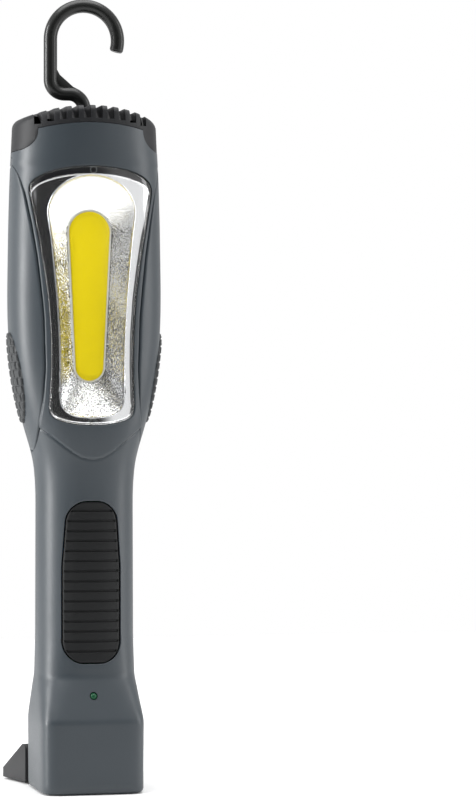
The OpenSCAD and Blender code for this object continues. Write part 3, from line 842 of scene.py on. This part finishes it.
def cap_sheet():
    unit = power_ring(np.radians(np.linspace(0, 360, 193))[:-1], 2 / CAP_SQUARE)
    half = soft(HALF_WIDTH, 262)
    size = np.array([half, CAP_DEPTH])
    rows = []
    for s in np.linspace(0.0, 0.96, 12):
        p = unit * (size - SHOULDER) * s
        rows.append(np.column_stack([p, crown(p[:, 0])]))
    for turn in np.radians([0, 15, 30, 45, 60, 75, 90]):
        p = unit * (size - SHOULDER * (1 - math.sin(turn)))
        rows.append(np.column_stack([p, crown(p[:, 0], SHOULDER * (1 - math.cos(turn)))]))
    top = rows[-1]
    for t in (0.25, 0.5, 0.75, 1.0):
        z = top[:, 2] + (250 - top[:, 2]) * t
        rows.append(np.column_stack([top[:, 0] * soft(HALF_WIDTH, z) / half, top[:, 1], z]))
    sheet = lay_sheet("cap", rows, wrap=True, middle=(0, 0, 0.25))
    close_ends(sheet)
    return outward(sheet)


cap = cap_sheet()
below_seam = [(-40, 240), (-40, 253.1)] + [(x, z + 0.12) for x, z in SEAM] + [(40, 253.1), (40, 240)]
punch(cap, below_seam, "y", -40, 40)
SLOT_PITCH, HALF_SLOT = 4.7, 1.35
vent_cutters = []
for k in range(10):
    x = (k - 4.5) * SLOT_PITCH
    drop = 2.4 * (x / EAR_X) ** 2  # the slots' sill follows the seam's arch
    face = CAP_DEPTH * (1 - abs(x / 29) ** CAP_SQUARE) ** (1 / CAP_SQUARE)
    profile = [(-60, 265.7), (-60, 300 + drop), (-4, 300 + drop), (-4, 271.8), (4.4 - face, 263.6),
               (4.4 - face, 260.6), (2.2 - face, 260.6), (2.2 - face, 265.7)]
    for turn in (1, -1):
        vent = [(y * turn, z - drop) for y, z in profile]
        vent_cutters.append(prism("cutter", vent, "x", x - HALF_SLOT, x + HALF_SLOT))
cut(cap, join("cutter", vent_cutters))
hollow = [(-18.4, 240), (-18.4, 263.2), (-16.0, 263.2), (-6, 267.0), (6, 267.0), (16.0, 263.2),
          (18.4, 263.2), (18.4, 240)]
inner_ring = power_ring(np.linspace(0, 2 * math.pi, 96, endpoint=False), 0.93) * (26.2, 18.2)
hollow_block = prism("cutter", hollow, "x", -22, 22)
punch(hollow_block, inner_ring, "z", 230, 290, "INTERSECT")
for low, high in ((-30, -8), (8, 30)):
    punch(hollow_block, rectangle(low, high, -1, 1), "z", 230, 290)
cut(cap, hollow_block)
punch(cap, circle(0, 0, 3.6), "z", 240, 300)
socket_ring = prism("socket_ring", circle(0, 0, 5.3, 64), "z", 262, 270.6)
bevel(socket_ring, 0.5)
punch(socket_ring, circle(0, 0, 2.78, 64), "z", 240, 300)
cap = join("cap", [cap, socket_ring])
bevel(cap, 0.18, 2, 45)
place(cap, "light", ["vent_cap"], CHARCOAL)

# %% [markdown]
# ## Hook
# The hook is one rod with a crank at its foot. A ring of points is pushed up the stem, then spun
# about the centre of each bend in turn, which is how a rod is bent round a set of pins.


# %% Hook
def push(move, scale=1.0):
    bpy.ops.mesh.extrude_region_move(TRANSFORM_OT_translate={"value": Vector(move) * MM})
    if scale != 1.0:
        bpy.ops.transform.resize(value=(scale, scale, scale), center_override=ring_middle())


def ring_middle():
    mesh = bpy.context.object
    mesh.update_from_editmode()
    picked = [v.co for v in mesh.data.vertices if v.select]
    return sum(picked, Vector()) / len(picked)


LAST_BEND = 180 + 14.9
clear_selection()
bpy.ops.mesh.primitive_circle_add(vertices=40, radius=2.7 * MM, location=(0, 0, 262 * MM),
                                  fill_type="NGON")
hook = new_piece("hook_rod")
edit(hook, action="SELECT")
push((0, 0, 8.7))
# Centre of each bend, its angle and steps, and the straight run after it
bends = [((-6, 270.7), 90, 14, (-2.1, 0, 0)), ((-8.1, 282.2), -90, 14, (0, 0, 16.1)),
         ((0, 298.3), -LAST_BEND, 52, None)]
for (x, z), degrees, steps, run in bends:
    bpy.ops.mesh.spin(steps=steps, angle=math.radians(degrees), center=(x * MM, 0, z * MM), axis=(0, 1, 0))
    if run:
        push(run)
turned = math.radians(LAST_BEND)
ahead = Vector((math.sin(turned), 0, math.cos(turned)))
for along, scale in ((0.25, 0.985), (0.35, 0.93), (0.3, 0.86), (0.12, 0.7)):
    push(ahead * along, scale)
leave_edit()
web = prism("web", [(-13.6, 289.6), (-13.6, 280), (-8, 276.7), (-2.2, 276.9), (-1.6, 278.2), (-4.5, 279.6),
                    (-9.8, 284.2), (-12.2, 288.4)], "y", -0.9, 0.9)
bevel(web, 0.3, 2)
hook = outward(join("hook_rod", [hook, web]))
place(hook, "hook", ["hook"], BLACK_GLOSS, 40)

# %% [markdown]
# ## Mirror, light strip and lens
# The mirror is thin plastic with a vacuum coating. A smooth band follows the body's curve, a
# fine raised rim surrounds the dish, and the dish falls to the strip with a sparkling stipple
# whose dark specks are a painted reflection.
# Rings of points between the four outlines make it one even sheet.


# %% Mirror material with stipple and painted reflections
def stipple_group():
    """Tiny dimples as a height, and a colour of painted dark reflections, none above a set height."""
    tree, into, out = group_with("stipple", {"Scale": 900.0, "Painted Dark Reflection": (0.2, 0.2, 0.2, 1),
                                             "Bright": (0.93, 0.93, 0.93, 1), "Painted Bright Above": 0.222})
    where = add_node(tree, "TexCoord")["Object"]
    dimples = add_node(tree, "TexVoronoi", {"Vector": where, "Scale": into["Scale"]})["Distance"]
    fine = noise_node(tree, where, into["Scale"], 1)
    patches = math_node(tree, "MULTIPLY_ADD", noise_node(tree, where, 60.0, 1), 0.45, -0.225)
    height = add_node(tree, "SeparateXYZ", {"Vector": where})["Z"]
    # Above the set height the colour is kept bright, a painted reflection; the dimples' relief stays.
    above = math_node(tree, "SUBTRACT", height, into["Painted Bright Above"])
    painted_bright_above = math_node(tree, "MAXIMUM", math_node(tree, "MULTIPLY", above, 60), 0.0)
    level = math_node(tree, "ADD", math_node(tree, "ADD", patches, fine), painted_bright_above)
    # Where this mask falls to the dark colour is a painted reflection of the dark body, in patches.
    painted_reflection_mask = add_node(tree, "MapRange", {"Value": level, "From Min": 0.40, "From Max": 0.50})["Result"]
    fill(tree, out, {"Height": dimples, "Colour": mix_colours(tree, painted_reflection_mask, into["Painted Dark Reflection"], into["Bright"]),
                     "Roughness": math_node(tree, "MULTIPLY_ADD", fine, 0.12, 0.02)})
    return tree


MIRROR = moulded("mirror_smooth", (0.88, 0.88, 0.89), (0.92, 0.92, 0.93), 0.06, 0.03, 300, depth=0.02,
                 metallic=1)
# The dish's finish: dimples as real relief, and painted dark reflections in its colour.
MIRROR_STIPPLE_PAINTED_REFLECTION = surfaced("mirror_stipple", stipple_group(), {"Scale": 2400}, 0.00009, Metallic=1)
CERAMIC = moulded("white_ceramic", (0.7, 0.7, 0.69), (0.76, 0.76, 0.75), 0.5)
print("mirror finishes:", MIRROR.name, MIRROR_STIPPLE_PAINTED_REFLECTION.name, CERAMIC.name)

# %% [markdown]
# The mirror's rows run inwards: the bare flange under the housing, a bead along the edge of the
# plating, the smooth band, the raised rim, the nearly straight walls of the dish and the dam
# round the strip. Each zone then takes its own finish by where its faces lie.

# %% Mirror
BAND = 2.5  # how deep the band lies under the skin
PLATED = np.stack([LENS[:, 0] * 0.985, 194.6 + (LENS[:, 1] - 195.75) * 0.972], 1)
BEAD = ((-0.03, 0.2), (-0.15, 0.34), (-0.35, 0.4), (-0.55, 0.34), (-0.68, 0.2), (-0.7, 0.02))
RAISED_RIM = ((0.38, 0.2), (0.3, 0.32), (0.15, 0.36), (0.04, 0.3), (0, 0.1))


def mirror_rows():
    rim = grow_loop(DISH_RIM, 0.45)
    steps = [(loop, 0) for loop in (grow_loop(LENS, 0.85), PLATED)]
    steps += [(grow_loop(PLATED, out), up) for out, up in BEAD]
    steps += [(between(PLATED, rim, t), 0) for t in np.linspace(0, 1, 7)[1:]]
    rows = [ring_row(loop, skin_y(*loop.T) + BAND - up) for loop, up in steps]
    for out, up in RAISED_RIM:
        loop = grow_loop(DISH_RIM, out)
        rows.append(ring_row(loop, surface_y(*loop.T) + BAND - up))
    mouth_y = surface_y(*DISH_RIM.T) + BAND
    wall_foot = grow_loop(STRIP, 1.15)
    for t in np.linspace(0, 1, 12)[1:]:
        fall = 1 - (1 - t) ** 1.1
        rows.append(ring_row(between(DISH_RIM, wall_foot, t), mouth_y + (-11.5 - mouth_y) * fall))
    dam_steps = ((0.9, -11.37), (0.6, -11.35), (-0.1, -11.3))
    return rows + [ring_row(grow_loop(STRIP, out), y) for out, y in dam_steps]


def half_width_of(loop, z):
    right = loop[:len(loop) // 2 + 1]
    return np.interp(z, right[:, 1], right[:, 0], left=-1, right=-1)


mirror = lay_sheet("mirror", mirror_rows(), wrap=True, facing=(0, -1, 0))
thicken(mirror, 0.8)
place(mirror, "light", ["reflector"], MIRROR, 50)
for zone_finish in (MIRROR_STIPPLE_PAINTED_REFLECTION, CHARCOAL, CERAMIC):
    mirror.data.materials.append(zone_finish)
dam = grow_loop(STRIP, 0.55)
for face in mirror.data.polygons:
    x, y, z = face.center / MM
    if abs(x) > half_width_of(PLATED, z):
        face.material_index = 2
    elif abs(x) < half_width_of(dam, z):
        face.material_index = 3
    # The dish walls take the stipple finish, whose colour holds painted dark reflections.
    elif abs(x) < half_width_of(DISH_RIM, z) and y - surface_y(x, z) > BAND + 0.25:
        face.material_index = 1

# %% [markdown]
# The light strip is a bead of silicone full of yellow phosphor, flowed onto the board inside a
# pale dam. It sits level and slightly crowned, with a faint mottle from the powder in it.


# %% Light strip
def strip_rows():
    rows = [ring_row(shrunk(grow_loop(STRIP, -0.35), 194.5, s), -11.95 - 0.5 * (1 - s ** 4))
            for s in np.linspace(0, 1, 14)]
    return rows + [ring_row(grow_loop(STRIP, -0.12), -11.7), ring_row(grow_loop(STRIP, -0.1), -10.6)]


strip = lay_sheet("light_strip", strip_rows(), wrap=True, facing=(0, -1, 0))
close_ends(strip)
PHOSPHOR = moulded("phosphor_yellow", (0.88, 0.69, 0.0002), (0.94, 0.74, 0.0004), 0.6, 0.05, 1200,
                   depth=0.3, ior=1.3)
place(strip, "light", ["cob_phosphor"], PHOSPHOR, 50)

# %% [markdown]
# The lens is a clear sheet with the body's own curve: a front face, a rounded edge and a back
# face, all in rings. Its glass lets shadow rays through, so that light reaches the mirror. Two
# small frosted rings mark where the plastic was fed into the mould.


# %% Clear lens
def clear_material(name):
    material, tree, shader = blank_material(name)
    fill(tree, shader.inputs, {"Base Color": (0.985, 0.99, 0.99, 1), "Roughness": 0.02, "IOR": 1.49,
                               "Transmission Weight": 1})
    shadow_ray = add_node(tree, "LightPath")["Is Shadow Ray"]
    clear = add_node(tree, "BsdfTransparent")["BSDF"]
    mix = add_node(tree, "MixShader", {0: shadow_ray, 1: shader.outputs["BSDF"], 2: clear})["Shader"]
    fill(tree, tree.nodes["Material Output"].inputs, {"Surface": mix})
    return material


def lens_rows():
    middle = 196
    steps = [(shrunk(LENS, middle, s), 0.1) for s in np.linspace(0, 0.965, 22)]
    steps += [(grow_loop(LENS, -inset), down) for inset, down in
              ((0.45, 0.1), (0.2, 0.16), (0.07, 0.28), (0.02, 0.5), (0.02, 1.7))]
    steps += [(shrunk(LENS, middle, s), 1.75) for s in np.linspace(0.97, 0, 14)]
    return [ring_row(loop, skin_y(*loop.T) + down) for loop, down in steps]


lens = outward(lay_sheet("clear_lens", lens_rows(), wrap=True))
gates = []
for z in (245.2, 146.1):
    clear_selection()
    bpy.ops.mesh.primitive_torus_add(major_radius=1.25 * MM, minor_radius=0.09 * MM, major_segments=36,
                                     minor_segments=8, rotation=(math.radians(90), 0, 0),
                                     location=(0, (skin_y(0, z) + 0.08) * MM, z * MM))
    gates.append(new_piece("gate_mark"))
FROST = moulded("frosted_gate", (0.10, 0.11, 0.11), (0.14, 0.15, 0.15), 0.4)
marks = join("gate_marks", gates)
place(marks, "light", [], FROST)
CLEAR = clear_material("clear_acrylic")
place(lens, "light", ["lens"], CLEAR, 40)

# %% [markdown]
# ## Push pad
# The rubber pad over the switch has fifteen grooves for the thumb. Its grid has rows on both
# lips of every groove, so the grooves stay crisp while the pad follows the round of the grip.

# %% Pad
GROOVE_PITCH = 3.95
GROOVES = 55.7 + GROOVE_PITCH * np.arange(15)
PAD_EDGE = np.array([0, 0.08, 0.25, 0.5, 0.8, 1.3, 2, 3])


def pad_heights():
    beside = [g + d for g in GROOVES for d in (-0.75, -0.5, -0.36, 0.36, 0.5, 0.75, 1.97)]
    ends = (PAD_LOW + PAD_EDGE, beside, PAD_HIGH + PAD_LOW - (PAD_LOW + PAD_EDGE))
    heights = np.unique(np.round(np.concatenate(ends), 3))
    return heights[(heights >= PAD_LOW) & (heights <= PAD_HIGH)]


def pad_row(z):
    half = float(pad_half_width(z))
    inset = np.array([0, 0.08, 0.25, 0.5, 0.8, 1.2])
    x = np.concatenate([-half + inset, np.linspace(-half + 1.8, half - 1.8, 30), half - inset[::-1]])
    gap = np.minimum(half - np.abs(x), min(z - PAD_LOW, PAD_HIGH - z))
    away = np.min(np.abs(z - GROOVES))
    cut_in = 0.75 * (1 - smooth_step((away - 0.33) / 0.2)) * smooth_step((half - 0.55 - np.abs(x)) / 0.5)
    slope = 0.22 * (((z - GROOVES[0]) / GROOVE_PITCH) % 1.0) * smooth_step((gap - 1) / 1)
    depth = 0.15 + edge_round(gap, 0.8)
    y = skin_y(x, np.full(len(x), z)) + depth + np.maximum(cut_in, slope * (away > 0.5))
    return np.stack([x, y, np.full(len(x), z)], 1)


pad = lay_sheet("thumb_pad", [pad_row(z) for z in pad_heights()], facing=(0, -1, 0))
thicken(pad, 1.6)
place(pad, "switch_pad", ["switch_pad"], PAD_RUBBER, 30)

# %% [markdown]
# The indicator is the tip of a small diode. A ball is cut near its middle, its flat side is drawn
# out into a stem, and the whole is tilted to stand square on the slope above the base.

# %% Indicator
clear_selection()
bpy.ops.mesh.primitive_uv_sphere_add(segments=32, ring_count=16, radius=1.5 * MM)
indicator = new_piece("indicator_dome")
edit(indicator, action="SELECT")
bpy.ops.mesh.bisect(plane_co=(0, 0, -0.2 * MM), plane_no=(0, 0, 1), clear_inner=True, use_fill=True)
leave_edit()
for vertex in indicator.data.vertices:
    if vertex.co.z < 0:
        vertex.co.z -= 3 * MM
tilt = math.atan(6.6 / 17)
spot = Vector((0, -np.interp(38.4, *zip(*FRONT)) * MM, 38.4 * MM))
for vertex in indicator.data.vertices:
    x, y, z = vertex.co - Vector((0, 0, 1 * MM))
    vertex.co = spot + Vector((x, -z * math.cos(tilt) + y * math.sin(tilt),
                               z * math.sin(tilt) + y * math.cos(tilt)))
outward(indicator)
GREEN = moulded("green_diffuser", (0.001, 0.05, 0.018), (0.002, 0.065, 0.024), 0.35, 0.05, ior=1.35)
place(indicator, "light", ["indicator_led"], GREEN)

# %% [markdown]
# ## Foot, port cover and screws
# The foot is a wedge that folds out from the back to hold the light upright. Its side profile is
# pushed across, trimmed to its rounded plan, and its edges are bevelled.

# %% Foot
FOOT_HINGE = (20.6, 13)  # y and z of its pin
side_profile = [(17.6, 0.6), (42.4, 0.6), (43.0, 1.0), (43.2, 1.8), (42.9, 2.7), (42.2, 3.4), (22.4, 15.3),
                (21.6, 15.8), (20.2, 15.95), (18.8, 15.4), (17.8, 14.2), (17.6, 13)]
foot = prism("foot", side_profile, "x", -27, 27)
corner = [(26.2 - 3 + 3 * math.cos(a), 40.2 + 3 * math.sin(a)) for a in np.radians(np.linspace(0, 90, 9))]
plan_half = [(20.8, 17), (20.9, 19.6)] + corner
plan = plan_half + [(-x, y) for x, y in plan_half[::-1]]
punch(foot, plan, "z", -5, 40, "INTERSECT")
punch(foot, circle(*FOOT_HINGE, 3.35, 48), "x", -12.4, 12.4)
punch(foot, rectangle(0, 20.6, 7.6, 40), "x", -12.4, 12.4)
punch(foot, circle(*FOOT_HINGE, 1.5, 32), "x", -19, 19)
punch(foot, circle(0, 32, 8.1, 64), "z", -5, 3.8)
bevel(foot, 0.5, 3, 40)
place(foot, "stand_foot", ["stand_foot"], CHARCOAL)

# %% [markdown]
# The cover is a small rubber flap with a nail rest at its top. A thinner tongue joins it to the
# barrel that it swings on, so that it clears the surround when it hangs open.

# %% Port cover
flap = prism("port_flap", rectangle(-6.5, 6.5, 45.3, 54.4), "y", 14.4, 15.8)
bevel(flap, 0.45, 3)
tongue = prism("tongue", rectangle(-6.4, 6.4, 44.4, 46.6), "y", 14.45, 15.65)
barrel = prism("barrel", circle(15.1, 44.4, 0.9, 24), "x", -8.2, 8.2)
nail = prism("nail", rectangle(-2.6, 2.6, 52.3, 53.2), "y", 15.7, 16.2)
bevel(nail, 0.2, 2)
flap = join("port_flap", [flap, tongue, barrel, nail])
place(flap, "port_cover", ["port_cover"], PAD_RUBBER)

# %% [markdown]
# Six screws hold the case together from the back. Each head lies at the bottom of its well and has
# a bevelled rim and a cross recess.

# %% Case screws
heads = []
for x, z in SCREWS:
    head = prism("screw", circle(x, z, 2.85, 32), "y", 13.3, 15.2)
    bevel(head, 0.5, 3)
    for wide, tall in ((1.7, 0.35), (0.35, 1.7)):
        bar = rectangle(x - wide, x + wide, z - tall, z + tall)
        punch(head, bar, "y", 14.2, 20)
    heads.append(head)
screws = join("screw_heads", heads)
place(screws, "light", ["case_screws"], STEEL)

# %% [markdown]
# ## Parts kept from the frame
# The parts inside, and a few small ones outside, are right as they are. They only need their
# finish, which goes on by the slot that the engineering model gave them.

# %% Materials of the kept parts
FINISH = {"aluminium": ALUMINIUM, "steel": STEEL, "circuit_board": BOARD_GREEN, "chips": CHIP_BLACK,
          "wire": WIRE_RED, "cell_wrap": CELL_WRAP, "inner_plastic": INNER_PLASTIC, "magnet": MAGNET,
          "pad_rubber": PAD_RUBBER, "housing": SLATE, "dark_plastic": CHARCOAL, "hook_plastic": BLACK_GLOSS,
          "grip_rubber": GRIP_RUBBER, "clear_lens": CLEAR, "mirror_coat": MIRROR, "phosphor": PHOSPHOR,
          "green_led": GREEN}
slot_of = {part["node"]: part["material_slot"] for part in frame["record"]["subparts"]}
for name, node in frame["nodes"].items():
    node.data.materials.clear()
    node.data.materials.append(FINISH.get(slot_of.get(name), INNER_PLASTIC))
print("finishes given to", len(frame["nodes"]), "parts of the frame")
